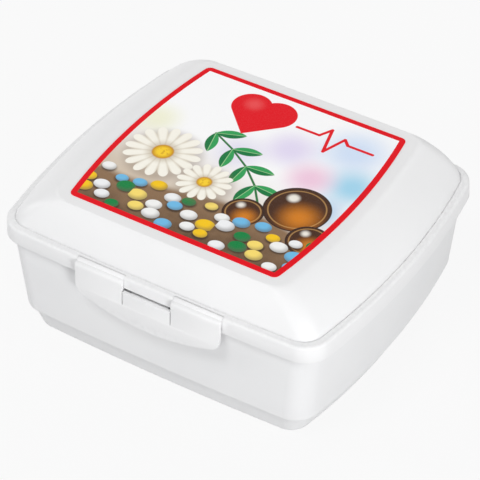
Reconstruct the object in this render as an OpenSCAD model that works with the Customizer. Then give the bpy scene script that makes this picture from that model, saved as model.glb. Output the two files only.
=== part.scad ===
// Snap-lid medicine box with a lift-out tray and removable dividers.
// The origin is the centre of the whole box on the table, +Z is up and the latch faces -Y.

/* [Box] */
// Width over the lid's rim at its middle, left to right
rim_w = 165; // [150:1:185]
// Depth over the lid's rim at its middle, front to back
rim_d = 139.5; // [125:0.5:160]
// How far the left and right sides bow out between the corners
side_bow = 6.8; // [4:0.1:9]
// How far the front and the back bow out between the corners
end_bow = 1.7; // [0.8:0.1:3]
// Corner radius of the lid's rim
corner_r = 12.6; // [11:0.1:18]
// Wall thickness of the tub and of the lid's top
wall = 1.6; // [1.2:0.1:2]

/* [Tub] */
// Height of the tub's upper edge above the table
tub_h = 52.9; // [48:0.1:60]
// Gap between the tub's wall and the lid's skirt
skirt_gap = 0.6; // [0.5:0.1:1]
// How far the left and right walls lean in from the upper edge to the bottom edge
side_lean = 3.5; // [2:0.1:5]
// How far the front and back walls lean in over the same height
end_lean = 1.1; // [0.5:0.1:3]
// Height at which the rounded bottom edge of the walls starts
step_h = 11.7; // [9:0.1:15]
// Radius of that bottom edge
step_r = 1.4; // [1:0.1:1.6]
// How much rounder the tub's corners are at the bottom edge than at the upper edge
corner_more = 1.5; // [0:0.1:2.5]
// How far the top of the foot stands back from the walls
step_in = 1.8; // [1.7:0.1:2.6]
// How far the left and right sides of the foot lean in from there to the table
foot_side_lean = 3.8; // [2:0.1:5]
// How far the front and the back of the foot lean in over the same height
foot_end_lean = 2.6; // [1.5:0.1:4]
// Corner radius of the foot on the table
foot_corner_r = 8.5; // [7.5:0.1:10]
// Width of the ring that the box stands on
foot_ring_w = 5; // [3:0.5:8]
// Depth of the hollow underside inside that ring
foot_hollow = 0.8; // [0.4:0.1:1.2]

/* [Lid] */
// Thickness of the lid's skirt
skirt_t = 1.5; // [1.2:0.1:1.8]
// Height of the skirt, from the top of the rim down
skirt_h = 8; // [7:0.1:10]
// How far the left and right sides of the skirt flare out towards its lower edge
skirt_flare = 0.6; // [0:0.1:1.5]
// Gap between the tub's upper edge and the lid's seat
seat_gap = 0.3; // [0.2:0.05:0.5]
// Thickness of the lid's rim above the seat
rim_t = 2.85; // [2.6:0.05:3.6]
// Radius of the rim's outer edge
rim_edge_r = 1.3; // [0.8:0.1:1.3]
// Distance of the groove round the dome from the rim's outer edge
groove_in = 3.6; // [3.3:0.1:5]
// Depth of that groove
groove_deep = 0.5; // [0.3:0.05:0.8]
// Height of the dome's flat top above the rim
dome_h = 15.95; // [12:0.05:22]
// Width of the flat margin round the printed label
top_margin = 5.1; // [3:0.1:7]

/* [Label] */
// Width of the printed label at its middle
label_w = 109.3; // [95:0.1:115]
// Depth of the printed label
label_d = 106.5; // [90:0.5:110]
// How far its left and right edges bow out
label_bow = 4.65; // [2:0.05:6]
// Corner radius of the label
label_r = 2.8; // [1:0.1:6]
// Thickness of the label's film
label_t = 0.2; // [0.1:0.05:0.4]

/* [Latch] */
// Width of the latch flap
latch_w = 70.2; // [60:0.2:80]
// Height of the flap at its middle, from the top of the rim down
latch_h = 21.2; // [19:0.1:28]
// Radius of the flap's curved lower edge
latch_arc_r = 104; // [90:1:160]
// Radius of the flap's lower corners
latch_corner_r = 5; // [2:0.5:7]
// Thickness of the flap
latch_t = 1.6; // [1.2:0.1:2]
// Gap between the flap and the skirt behind it
latch_gap = 0.3; // [0.3:0.05:0.6]
// How far the flap's lower edge flares out for the fingers
latch_flare = 1.2; // [0:0.1:2]
// Height of the slope from the hinge down to the flap's flat face
neck_h = 3.2; // [2.5:0.1:4]
// Width of the window and of the springy tongue under it
window_w = 24; // [20:0.5:30]
// Height of the skirt that shows in the window, from the top of the rim down
window_h = 5.65; // [5.2:0.05:6.5]
// Height of the slit between that skirt and the tongue
slit_h = 0.7; // [0.5:0.05:1.2]
// Width of the slits at the sides of the tongue
slit_w = 0.5; // [0.4:0.05:0.8]
// Length of the tongue, from its free end down to the slits' lower ends
tongue_l = 6.75; // [5:0.05:7.5]
// Radius of the latch's hinge knuckles
latch_knuckle_r = 1.1; // [1:0.05:1.2]
// Distance of the latch's hinge axis from the rim's outer edge
latch_axis_in = 1.25; // [1.15:0.05:1.35]
// Radius of the wire that the latch turns on
latch_pin_r = 0.4; // [0.3:0.05:0.5]
// How far that wire runs into the rim past each end of the flap
latch_pin_grip = 2.5; // [1.5:0.5:3]
// Gap between the knuckles and their pocket in the rim
pocket_gap = 0.25; // [0.2:0.05:0.35]

/* [Catch] */
// Width of the catch on the tub and of the tongue's hook
catch_w = 18; // [12:0.5:20]
// Height of the catch and of the hook
catch_h = 1.6; // [1.2:0.1:1.8]
// How far the catch stands out from the tub's wall
catch_out = 1.8; // [1.5:0.1:1.9]
// Gap between the catch and the hook below it
catch_gap = 0.35; // [0.3:0.05:0.5]
// How far the hook reaches under the catch
hook_bite = 1.1; // [0.6:0.1:1.3]

/* [Rear hinge] */
// Distance of each hinge from the middle of the box
hinge_x = 38; // [30:1:46]
// Distance of the hinge axis behind the rim
hinge_out = 3.85; // [3.6:0.05:4.6]
// Height of the hinge axis above the skirt's lower edge
hinge_up = 1.3; // [1:0.05:1.6]
// Radius of the hinge knuckles
hinge_r = 2.6; // [2.3:0.1:3]
// Width of the lid's knuckle in each hinge
knuckle_w = 12; // [8:1:16]
// Width of each ear on the tub
ear_w = 5; // [3:0.5:7]
// Gap between the knuckle and the ears beside it
ear_gap = 0.3; // [0.3:0.05:0.6]
// Radius of the hinge pins
hinge_pin_r = 1.1; // [0.8:0.1:1.3]
// Radial clearance of every pin in its bores
pin_play = 0.05; // [0.02:0.01:0.1]

/* [Tray] */
// Height of the tray's underside above the table
tray_z = 31; // [24:0.5:34]
// Height of the tray
tray_h = 15.5; // [12:0.5:20]
// Wall and floor thickness of the tray
tray_t = 1.4; // [1:0.1:1.8]
// Gap between the tray and the tub's wall
tray_gap = 0.6; // [0.4:0.1:1]
// Gap between the tray and the ribs that carry it
tray_seat_gap = 0.3; // [0.2:0.05:0.5]
// Radius of the finger notches in the tray's front and back walls
notch_r = 10; // [6:0.5:12]
// Depth of the finger notches
notch_deep = 7; // [4:0.5:8]
// Distance of the two cross dividers from the middle
tray_cross_x = 25; // [18:0.5:32]

/* [Dividers] */
// Thickness of the removable dividers
divider_t = 1.4; // [1:0.1:2]
// Clearance on each side of a divider in its slot
slot_play = 0.15; // [0.1:0.05:0.3]
// Thickness of the ribs that hold the dividers
rib_t = 1.4; // [1:0.1:2]
// How far the tub's ribs reach past the foot's inner wall
rib_reach = 4.5; // [3:0.5:8]
// How far the tray's ribs stand in from its walls
tray_rib_reach = 2.2; // [1.5:0.1:4]
// How far the tray's dividers stay below its edge
divider_below = 1; // [0.5:0.5:4]

/* [Hidden] */

// Segments of a quarter of every outline: half a side, the corner and half an end
side_steps = 5;
corner_steps = 8;
end_steps = 3;
// Rings that draw the dome's shoulder, and the powers that fill it out at its top and at its foot
shoulder_rings = 9;
top_power = 1.3;
foot_power = 1.45;
// Steps of a small rounded edge
round_steps = 3;
round_fn = 48;

// An outline is [half width, half depth, side bow, end bow, corner radius]
rim = [rim_w / 2, rim_d / 2, side_bow, end_bow, corner_r];
label = [label_w / 2, label_d / 2, label_bow, 0.05, label_r];
flat_top = [label_w / 2 + top_margin, label_d / 2 + top_margin, label_bow, end_bow / 4, label_r + top_margin];

// Heights
seat_z = tub_h + seat_gap;
rim_z = seat_z + rim_t;
skirt_z = rim_z - skirt_h;
lid_z = rim_z + dome_h;
floor_z = foot_hollow + wall;
under_z = step_h - step_r;
shelf_z = under_z + wall;

// Insets of the tub's outer wall from the rim's outline, and the cut of its corner radius
top_in = skirt_t + skirt_gap;
function lean(z) = (tub_h - z) / (tub_h - step_h);
function wall_x_in(z) = top_in + side_lean * lean(z);
function wall_y_in(z) = top_in + end_lean * lean(z);
function wall_turn(z) = top_in - corner_more * lean(z);

// The same for the foot, which leans in from the step under the walls to the table
function foot_lean(z) = (under_z - z) / under_z;
function foot_x_in(z) = wall_x_in(step_h) + step_in + foot_side_lean * foot_lean(z);
function foot_y_in(z) = wall_y_in(step_h) + step_in + foot_end_lean * foot_lean(z);
foot_top_turn = wall_turn(step_h) + step_in;
function foot_turn(z) = foot_top_turn + (corner_r - foot_corner_r - foot_top_turn) * foot_lean(z);

// Latch
latch_axis_y = -rim_d / 2 + latch_axis_in;
latch_axis_z = rim_z - latch_knuckle_r;
latch_back_y = -rim_d / 2 - latch_gap;
latch_face_y = latch_back_y - latch_t;
neck_z = rim_z - neck_h - latch_knuckle_r;
window_z = rim_z - window_h;
tongue_z = window_z - slit_h;
slit_end_z = tongue_z - tongue_l;
catch_z = tongue_z - catch_gap - catch_h;
hook_z = catch_z - catch_gap - catch_h;
catch_y = -rim_d / 2 + wall_y_in(catch_z) - catch_out;

// Rear hinge
hinge_y = rim_d / 2 + hinge_out;
hinge_z = skirt_z + hinge_up;
hinge_span = knuckle_w + 2 * (ear_gap + ear_w);
// Height of the ears' gusset on the tub's wall, and its reach behind the skirt
gusset_h = 9;
gusset_out = 0.55;

// The shapes are drawn about the middle of the rim, and this moves them to the origin
middle_y = (hinge_y + hinge_r + latch_face_y - latch_flare) / 2;

// Inside
ribs_z = tray_z - tray_seat_gap;
rib_off = divider_t / 2 + slot_play + rib_t / 2;
// Room that a tray divider's end leaves in its slot
end_play = 0.5;
// Bottom corner radius of the tray and chamfer of the dividers that stand in it
tray_r = 2;
// Radius round the tub's floor, and the distance that the base dividers keep from its walls
floor_r = 2;
// Radius of the foot's lower edge
foot_r = 0.8;
// Height and width of the small bevel on the upper edges of the tub and the tray and on the skirt
bevel_h = 0.4;
bevel_w = 0.3;

// Points of one quarter of an outline, from the +X axis to the +Y axis
function quarter(o) =
    let (a = o[0], b = o[1], sx = o[2], sy = o[3], r = o[4],
         side_r = (b * b + sx * sx) / (2 * sx),
         end_r = (a * a + sy * sy) / (2 * sy),
         side_c = [a - side_r, 0],
         end_c = [0, b - end_r],
         gap = norm(end_c - side_c),
         u = (end_c - side_c) / gap,
         along = (pow(side_r - r, 2) - pow(end_r - r, 2) + gap * gap) / (2 * gap),
         across = sqrt(pow(side_r - r, 2) - along * along),
         c = side_c + along * u + across * [-u[1], u[0]],
         from = atan2(c[1], c[0] - side_c[0]),
         to = atan2(c[1] - end_c[1], c[0]))
    concat([for (i = [0 : side_steps - 1]) side_c + side_r * arc(from * i / side_steps)],
           [for (i = [0 : corner_steps - 1]) c + r * arc(from + (to - from) * i / corner_steps)],
           [for (i = [0 : end_steps]) end_c + end_r * arc(to + (90 - to) * i / end_steps)]);

function arc(t) = [cos(t), sin(t)];

// The whole outline, anticlockwise
function outline(o) =
    let (q = quarter(o), m = len(q) - 1)
    concat([for (i = [0 : m - 1]) q[i]],
           [for (i = [m : -1 : 1]) [-q[i][0], q[i][1]]],
           [for (i = [0 : m - 1]) -q[i]],
           [for (i = [m : -1 : 1]) [q[i][0], -q[i][1]]]);

// An outline moved in by x and y, with its corner radius cut by turn
function inset(o, x, y, turn) = [o[0] - x, o[1] - y, o[2], o[3], max(o[4] - turn, 0.6)];

// A ring is an outline at a height
function ring(o, z) = [for (p = outline(o)) [p[0], p[1], z]];
function rim_ring(d, z) = ring(inset(rim, d, d, d), z);

// A closed solid through the rings, capped by the first and the last
module loft(rings) {
    n = len(rings[0]);
    last = (len(rings) - 1) * n;
    polyhedron(
        points = [for (r = rings) for (p = r) p],
        faces = concat(
            [[for (i = [0 : n - 1]) i]],
            [for (k = [0 : len(rings) - 2]) for (i = [0 : n - 1])
                [k * n + i, (k + 1) * n + i, k * n + (i + 1) % n]],
            [for (k = [0 : len(rings) - 2]) for (i = [0 : n - 1])
                [k * n + (i + 1) % n, (k + 1) * n + i, (k + 1) * n + (i + 1) % n]],
            [[for (i = [n - 1 : -1 : 0]) last + i]]),
        convexity = 10);
}

// A flat shape in Y and Z, given its width along X and centred there
module along_x(w) {
    translate([-w / 2, 0, 0])
        rotate([90, 0, 90])
            linear_extrude(w)
                children();
}

// A flat shape in X and Z, given its width along Y and centred there
module along_y(w) {
    translate([0, w / 2, 0])
        rotate([90, 0, 0])
            linear_extrude(w)
                children();
}

module rod(r, length) {
    rotate([0, 90, 0])
        cylinder(r = r, h = length, center = true, $fn = round_fn);
}

// The tub's shell

// Rings of the tub's outside, from the hollow underside up to the upper edge
function tub_outside() = concat(
    [foot_ring(foot_ring_w + foot_hollow, foot_hollow),
     foot_ring(foot_ring_w, 0)],
    [for (i = [0 : round_steps]) let (t = 90 * i / round_steps)
        foot_ring(foot_r * (1 - sin(t)), foot_r * (1 - cos(t)))],
    [foot_ring(0, under_z)],
    [for (i = [0 : round_steps]) let (t = 90 * i / round_steps, d = step_r - step_r * sin(t))
        tub_ring(step_h, d, step_h - step_r * cos(t))],
    [tub_ring(tub_h, 0, tub_h - bevel_h),
     tub_ring(tub_h, bevel_w, tub_h)]);

// Rings of the tub's inside, from the upper edge down to the floor
function tub_inside() = concat(
    [tub_ring(tub_h, wall - bevel_w, tub_h),
     tub_ring(tub_h, wall, tub_h - bevel_h),
     tub_ring(step_h, wall, shelf_z + step_r),
     foot_ring(wall, under_z)],
    [for (i = [0 : round_steps]) let (t = 90 * i / round_steps)
        foot_ring(wall + floor_r * (1 - cos(t)), floor_z + floor_r * (1 - sin(t)))]);

function foot_ring(d, z) = ring(inset(rim, foot_x_in(z) + d, foot_y_in(z) + d, foot_turn(z) + d), z);
function tub_ring(at, d, z) = ring(inset(rim, wall_x_in(at) + d, wall_y_in(at) + d, wall_turn(at) + d), z);

// One rib that holds a divider and carries the tray, seen from its side: u runs out to the wall
module rib_shape(half, foot_low, foot_high, wall_low, wall_high) {
    polygon([
        [half - foot_low - wall - rib_reach, floor_z - wall / 2],
        [half - foot_low - wall / 2, floor_z - wall / 2],
        [half - foot_high - wall / 2, shelf_z - wall / 2],
        [half - wall_low - wall / 2, shelf_z - wall / 2],
        [half - wall_high - wall / 2, ribs_z],
        [half - foot_low - wall - rib_reach, ribs_z]]);
}

// Four pairs of ribs, one pair for each end of the two base dividers
module tub_ribs() {
    for (turn = [0, 180], side = [-1, 1]) {
        rotate(turn)
            translate([0, side * rib_off, 0])
                along_y(rib_t)
                    rib_shape(rim_w / 2, foot_x_in(0), foot_x_in(under_z), wall_x_in(shelf_z), wall_x_in(ribs_z));
        rotate(turn)
            translate([side * rib_off, 0, 0])
                along_x(rib_t)
                    rib_shape(rim_d / 2, foot_y_in(0), foot_y_in(under_z), wall_y_in(shelf_z), wall_y_in(ribs_z));
    }
}

// The wedge on the tub's front that the latch's hook snaps under
module catch_lug() {
    back_y = -rim_d / 2 + wall_y_in(catch_z) + wall / 2;
    along_x(catch_w)
        polygon([
            [back_y, catch_z],
            [catch_y, catch_z],
            [catch_y, catch_z + catch_h / 2],
            [catch_y + catch_h / 2, catch_z + catch_h],
            [back_y, catch_z + catch_h]]);
}

// One ear of a rear hinge, standing on a gusset below the skirt
module hinge_ear() {
    wall_y = rim_d / 2 - wall_y_in(skirt_z) - wall / 2;
    shoulder_z = skirt_z - 1;
    out = hinge_r * sin(45);
    along_x(ear_w)
        polygon([
            [wall_y, shoulder_z - gusset_h],
            [hinge_y + out, hinge_z - out],
            [hinge_y - out, hinge_z + out],
            [rim_d / 2 + gusset_out, shoulder_z],
            [wall_y, shoulder_z]]);
    translate([0, hinge_y, hinge_z])
        rod(hinge_r, ear_w);
}

module tub() {
    color([0.9, 0.91, 0.92])
        difference() {
            union() {
                loft(concat(tub_outside(), tub_inside()));
                tub_ribs();
                catch_lug();
                for (side = [-1, 1], end = [-1, 1])
                    translate([side * hinge_x + end * (knuckle_w + ear_w + 2 * ear_gap) / 2, 0, 0])
                        hinge_ear();
            }
            for (side = [-1, 1])
                translate([side * hinge_x, hinge_y, hinge_z])
                    rod(hinge_pin_r + pin_play, hinge_span + 2);
        }
}

module hinge_pin(side) {
    color([0.82, 0.83, 0.85])
        translate([side * hinge_x, hinge_y, hinge_z])
            rod(hinge_pin_r, hinge_span);
}

// The dividers that stand on the tub's floor between its ribs

// A plate with one slot at its middle, where the other plate crosses it
module crossed_plate(half, low, high, slot_from, slot_to) {
    difference() {
        translate([-half, low])
            square([2 * half, high - low]);
        translate([-divider_t / 2 - slot_play, slot_from])
            square([divider_t + 2 * slot_play, slot_to - slot_from]);
    }
}

base_lap_z = (floor_z + ribs_z) / 2;

module base_divider_long() {
    color([0.88, 0.93, 0.96])
        along_y(divider_t)
            crossed_plate(rim_w / 2 - foot_x_in(floor_z) - wall - floor_r, floor_z, ribs_z,
                          base_lap_z - slot_play, ribs_z + 1);
}

module base_divider_cross() {
    color([0.88, 0.93, 0.96])
        along_x(divider_t)
            crossed_plate(rim_d / 2 - foot_y_in(floor_z) - wall - floor_r, floor_z, ribs_z,
                          floor_z - 1, base_lap_z + slot_play);
}

// The lid

function dome_ring(s, z) =
    let (foot = inset(rim, groove_in, groove_in, groove_in))
    ring(foot + (flat_top - foot) * s, z);
function dome_z(s) = pow(1 - pow(1 - s, top_power), 1 / foot_power);
function dome_s(i) = pow(i / shoulder_rings, foot_power);

// Rings of the lid's inside, from the underside of the flat top down to the skirt's lower edge
function lid_inside() = concat(
    [for (i = [shoulder_rings : -1 : 0]) let (s = dome_s(i))
        inner_ring(s, seat_z + 0.8 + (lid_z - wall - seat_z - 0.8) * dome_z(s))],
    [ring(inset(rim, inner_in, inner_in, inner_in), seat_z),
     rim_ring(skirt_t, seat_z),
     skirt_ring(skirt_t, skirt_z + bevel_h),
     skirt_ring(skirt_t - bevel_w, skirt_z)]);

// Rings of the lid's outside, from the skirt's lower edge up to the edge of the flat top
function lid_outside() = concat(
    [skirt_ring(bevel_w, skirt_z),
     skirt_ring(0, skirt_z + bevel_h)],
    [for (i = [0 : round_steps]) let (t = 90 * i / round_steps)
        skirt_ring(rim_edge_r * (1 - cos(t)), rim_z - rim_edge_r * (1 - sin(t)))],
    [rim_ring(groove_in - 0.7, rim_z + groove_deep / 2),
     rim_ring(groove_in - 0.3, rim_z - groove_deep / 2)],
    [for (i = [0 : shoulder_rings]) let (s = dome_s(i))
        dome_ring(s, rim_z + groove_deep + (dome_h - groove_deep) * dome_z(s))]);

// The skirt's sides flare out from the top of the rim down
function skirt_ring(d, z) = ring(inset(rim, d - skirt_flare * (rim_z - z) / skirt_h, d, d), z);

// The dome's inner face stands in from the rim's outer edge by this much at its foot
inner_in = groove_in + 0.6;
function inner_ring(s, z) =
    let (foot = inset(rim, inner_in, inner_in, inner_in),
         top = inset(flat_top, wall * 0.8, wall * 0.8, wall * 0.5))
    ring(foot + (top - foot) * s, z);

// The room that one arm of the latch turns in, at the rim's outer edge
module latch_pocket(w) {
    translate([0, latch_axis_y, latch_axis_z])
        rod(latch_knuckle_r + pocket_gap, w);
    along_x(w)
        polygon([
            [latch_axis_y, rim_z + 1],
            [latch_back_y - 1, rim_z + 1],
            [latch_back_y - 1, neck_z - latch_gap],
            [-rim_d / 2 - 0.01, neck_z - latch_gap],
            [latch_axis_y, latch_axis_z - latch_knuckle_r]]);
}

// One arm of the latch, between the window and the flap's side
arm_w = (latch_w - window_w) / 2;
arm_x = (latch_w + window_w) / 4;

module lid() {
    color([0.96, 0.96, 0.97])
        difference() {
            union() {
                loft(concat(lid_inside(), lid_outside()));
                for (side = [-1, 1])
                    translate([side * hinge_x, 0, 0])
                        lid_knuckle();
            }
            for (side = [-1, 1])
                translate([side * hinge_x, hinge_y, hinge_z])
                    rod(hinge_pin_r + pin_play, hinge_span);
            for (side = [-1, 1])
                translate([side * arm_x, 0, 0])
                    latch_pocket(arm_w + 2 * pocket_gap);
            translate([0, latch_axis_y, latch_axis_z])
                rod(latch_pin_r + pin_play, latch_w + 2 * latch_pin_grip);
            skirt_notch();
        }
}

// The notch in the skirt behind the window, where the hook reaches in to the catch
module skirt_notch() {
    translate([-window_w / 2 - slit_w, -rim_d / 2 - 1, skirt_z - 1])
        cube([window_w + 2 * slit_w, skirt_t + 1.3, window_z - skirt_z + 1]);
}

// The lid's part of one rear hinge, standing out from the skirt
module lid_knuckle() {
    translate([0, hinge_y, hinge_z])
        rod(hinge_r, knuckle_w);
    translate([-knuckle_w / 2, rim_d / 2 - skirt_t, skirt_z])
        cube([knuckle_w, hinge_out + skirt_t, hinge_up + hinge_r]);
}

module lid_label() {
    color([0.86, 0.1, 0.14])
        translate([0, 0, lid_z])
            linear_extrude(label_t)
                polygon(outline(label));
}

// The latch

module latch_pin() {
    color([0.8, 0.81, 0.83])
        translate([0, latch_axis_y, latch_axis_z])
            rod(latch_pin_r, latch_w + 2 * latch_pin_grip - 0.4);
}

flap_steps = 8;
flap_low_z = rim_z - latch_h;
function flare(z) = latch_flare * pow((neck_z - z) / (neck_z - flap_low_z), 2);

// The flap's section: a face that flares out towards its lower edge
module flap_section() {
    heights = [for (i = [0 : flap_steps]) neck_z + (flap_low_z - 1 - neck_z) * i / flap_steps];
    polygon(concat(
        [for (z = heights) [latch_face_y - flare(z), z]],
        [for (i = [flap_steps : -1 : 0]) [latch_back_y - flare(heights[i]), heights[i]]]));
}

// The slope between the knuckle and the flap's face
module neck_section() {
    top = latch_knuckle_r * 0.92;
    polygon([
        [latch_axis_y - top, latch_axis_z + latch_knuckle_r * 0.39],
        [latch_face_y, neck_z],
        [latch_back_y, neck_z],
        [latch_axis_y - latch_knuckle_r * 0.2, latch_axis_z - latch_knuckle_r * 0.6]]);
}

// The flap seen from the front, with its curved lower edge and rounded lower corners
module flap_front() {
    intersection() {
        translate([0, flap_low_z + latch_arc_r])
            circle(r = latch_arc_r, $fn = 360);
        hull() {
            translate([-latch_w / 2, neck_z - 1])
                square([latch_w, 1]);
            for (side = [-1, 1])
                translate([side * (latch_w / 2 - latch_corner_r), corner_z])
                    circle(r = latch_corner_r, $fn = 48);
            translate([-latch_w / 4, flap_low_z - 1])
                square([latch_w / 2, 1]);
        }
    }
}

// Height of the lower corners' centres, so that their circles touch the curved edge from inside
corner_z = flap_low_z + latch_arc_r
    - sqrt(pow(latch_arc_r - latch_corner_r, 2) - pow(latch_w / 2 - latch_corner_r, 2));

module front_latch() {
    color([0.94, 0.94, 0.95])
        difference() {
            union() {
                intersection() {
                    along_x(latch_w)
                        flap_section();
                    translate([0, latch_face_y, 0])
                        along_y(4 * (latch_t + latch_flare))
                            flap_front();
                }
                for (side = [-1, 1])
                    translate([side * arm_x, 0, 0]) {
                        along_x(arm_w)
                            neck_section();
                        translate([0, latch_axis_y, latch_axis_z])
                            rod(latch_knuckle_r, arm_w);
                    }
                latch_hook();
            }
            window_cut();
            translate([0, latch_axis_y, latch_axis_z])
                rod(latch_pin_r + pin_play, latch_w + 2);
        }
}

// The window over the tongue and the slits beside it
module window_cut() {
    deep = 4 * (latch_t + latch_flare);
    translate([0, latch_face_y, 0])
        along_y(deep) {
            translate([-window_w / 2, tongue_z])
                square([window_w, neck_z - tongue_z + 1]);
            for (side = [-1, 1])
                translate([side * (window_w - slit_w) / 2 - slit_w / 2, slit_end_z])
                    square([slit_w, tongue_l + 1]);
        }
}

// The hook behind the tongue
module latch_hook() {
    tip_y = catch_y + hook_bite;
    root_y = latch_back_y - latch_t / 2;
    along_x(catch_w)
        polygon([
            [root_y, hook_z + catch_h],
            [tip_y, hook_z + catch_h],
            [tip_y, hook_z + catch_h / 2],
            [latch_back_y, hook_z - catch_h / 2],
            [root_y, hook_z - catch_h / 2]]);
}

// The lift-out tray

tray_top_z = tray_z + tray_h;
function tray_x_in(z) = wall_x_in(z) + wall + tray_gap;
function tray_y_in(z) = wall_y_in(z) + wall + tray_gap;
function tray_turn(z) = wall_turn(z) + wall + tray_gap;
function tray_ring(at, d, z) = ring(inset(rim, tray_x_in(at) + d, tray_y_in(at) + d, tray_turn(at) + d), z);

module tray_shell() {
    floor_top = tray_z + tray_t;
    loft(concat(
        [for (i = [0 : round_steps]) let (t = 90 * i / round_steps)
            tray_ring(tray_z, tray_r * (1 - sin(t)), tray_z + tray_r * (1 - cos(t)))],
        [tray_ring(tray_top_z, 0, tray_top_z - bevel_h),
         tray_ring(tray_top_z, bevel_w, tray_top_z),
         tray_ring(tray_top_z, tray_t - bevel_w, tray_top_z),
         tray_ring(tray_top_z, tray_t, tray_top_z - bevel_h)],
        [for (i = [0 : round_steps]) let (t = 90 * i / round_steps)
            tray_ring(tray_z, tray_t + tray_r * (1 - cos(t)), floor_top + tray_r * (1 - sin(t)))]));
}

// One rib of a divider's slot, from the middle of the tray's wall inwards
module tray_rib_shape(half, low_in, high_in) {
    low = tray_z + tray_t / 2;
    high = tray_top_z - divider_below;
    polygon([
        [half - low_in - tray_t - tray_rib_reach, low],
        [half - low_in - tray_r, low],
        [half - low_in - tray_t / 2, low + tray_r],
        [half - high_in - tray_t / 2, high],
        [half - high_in - tray_t - tray_rib_reach, high]]);
}

module tray() {
    color([0.9, 0.94, 0.97])
        difference() {
            union() {
                tray_shell();
                for (turn = [0, 180], side = [-1, 1]) {
                    rotate(turn)
                        translate([0, side * rib_off, 0])
                            along_y(rib_t)
                                tray_rib_shape(rim_w / 2, tray_x_in(tray_z), tray_x_in(tray_top_z));
                    for (x = [-tray_cross_x, tray_cross_x])
                        rotate(turn)
                            translate([x + side * rib_off, 0, 0])
                                along_x(rib_t)
                                    tray_rib_shape(rim_d / 2 - cross_dip, tray_y_in(tray_z), tray_y_in(tray_top_z));
                }
            }
            translate([0, 0, tray_top_z + notch_r - notch_deep])
                rotate([90, 0, 0])
                    cylinder(r = notch_r, h = rim_d, center = true, $fn = 96);
        }
}

// How far the bowed front and back have fallen away at the cross dividers
end_bow_r = (pow(rim_w / 2, 2) + pow(end_bow, 2)) / (2 * end_bow);
cross_dip = end_bow_r - sqrt(pow(end_bow_r, 2) - pow(tray_cross_x, 2));

// A tray divider seen from its side, wider at the top where the tray's walls lean out
module tray_plate(half, low_in, high_in) {
    low = tray_z + tray_t;
    high = tray_top_z - divider_below;
    low_half = half - low_in - tray_t - end_play;
    high_half = half - high_in - tray_t - end_play;
    polygon([
        [-low_half + tray_r, low],
        [low_half - tray_r, low],
        [low_half, low + tray_r],
        [high_half, high],
        [-high_half, high],
        [-low_half, low + tray_r]]);
}

tray_lap_z = (tray_z + tray_t + tray_top_z - divider_below) / 2;

module lap_slot(x, from, to) {
    translate([x - divider_t / 2 - slot_play, from])
        square([divider_t + 2 * slot_play, to - from]);
}

module tray_divider_long() {
    color([0.84, 0.91, 0.96])
        along_y(divider_t)
            difference() {
                tray_plate(rim_w / 2, tray_x_in(tray_z), tray_x_in(tray_top_z));
                for (x = [-tray_cross_x, tray_cross_x])
                    lap_slot(x, tray_lap_z - slot_play, tray_top_z);
            }
}

module tray_divider(x) {
    color([0.84, 0.91, 0.96])
        translate([x, 0, 0])
            along_x(divider_t)
                difference() {
                    tray_plate(rim_d / 2 - cross_dip, tray_y_in(tray_z), tray_y_in(tray_top_z));
                    lap_slot(0, tray_z, tray_lap_z + slot_play);
                }
}

module placed() {
    translate([0, -middle_y, 0])
        children();
}

placed() {
    tub();
    base_divider_long();
    base_divider_cross();
    hinge_pin(-1);  // hinge_pin_left
    hinge_pin(1);  // hinge_pin_right
    lid();
    lid_label();
    latch_pin();
    front_latch();
    tray();
    tray_divider_long();
    tray_divider(-tray_cross_x);  // tray_divider_left
    tray_divider(tray_cross_x);  // tray_divider_right
}
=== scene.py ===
# %% [markdown]
# # A snap-lid medicine box
#
# The object is a white moulded box with a domed lid, a snap latch at the front, a printed film on
# top, and a lift-out tray with dividers inside. The solids of every piece come with the frame. This
# notebook models finer versions of them, gives each its finish, and lights the box as in a studio.

# %% Load the frame
import math

import bmesh
import bpy
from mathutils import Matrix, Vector


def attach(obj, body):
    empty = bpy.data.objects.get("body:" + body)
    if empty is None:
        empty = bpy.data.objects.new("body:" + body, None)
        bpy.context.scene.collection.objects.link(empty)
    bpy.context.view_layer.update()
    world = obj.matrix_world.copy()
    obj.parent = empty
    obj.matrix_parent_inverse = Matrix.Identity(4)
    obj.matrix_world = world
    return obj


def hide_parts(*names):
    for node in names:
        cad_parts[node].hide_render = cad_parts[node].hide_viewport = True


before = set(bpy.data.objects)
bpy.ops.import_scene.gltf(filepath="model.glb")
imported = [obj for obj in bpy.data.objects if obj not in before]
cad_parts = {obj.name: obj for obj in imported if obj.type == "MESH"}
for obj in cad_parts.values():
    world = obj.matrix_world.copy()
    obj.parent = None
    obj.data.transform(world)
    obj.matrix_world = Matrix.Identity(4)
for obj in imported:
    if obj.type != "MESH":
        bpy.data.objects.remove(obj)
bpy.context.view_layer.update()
MM = 0.001

# %% [markdown]
# ## Sizes
#
# The pieces are drawn in millimetres about the middle of the lid's rim, with the same sizes as the
# solids, so that every new piece lies exactly where its solid does. The frame's origin is the centre
# of the whole box, a little behind that middle, because the hinges stand out further than the latch.

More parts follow.
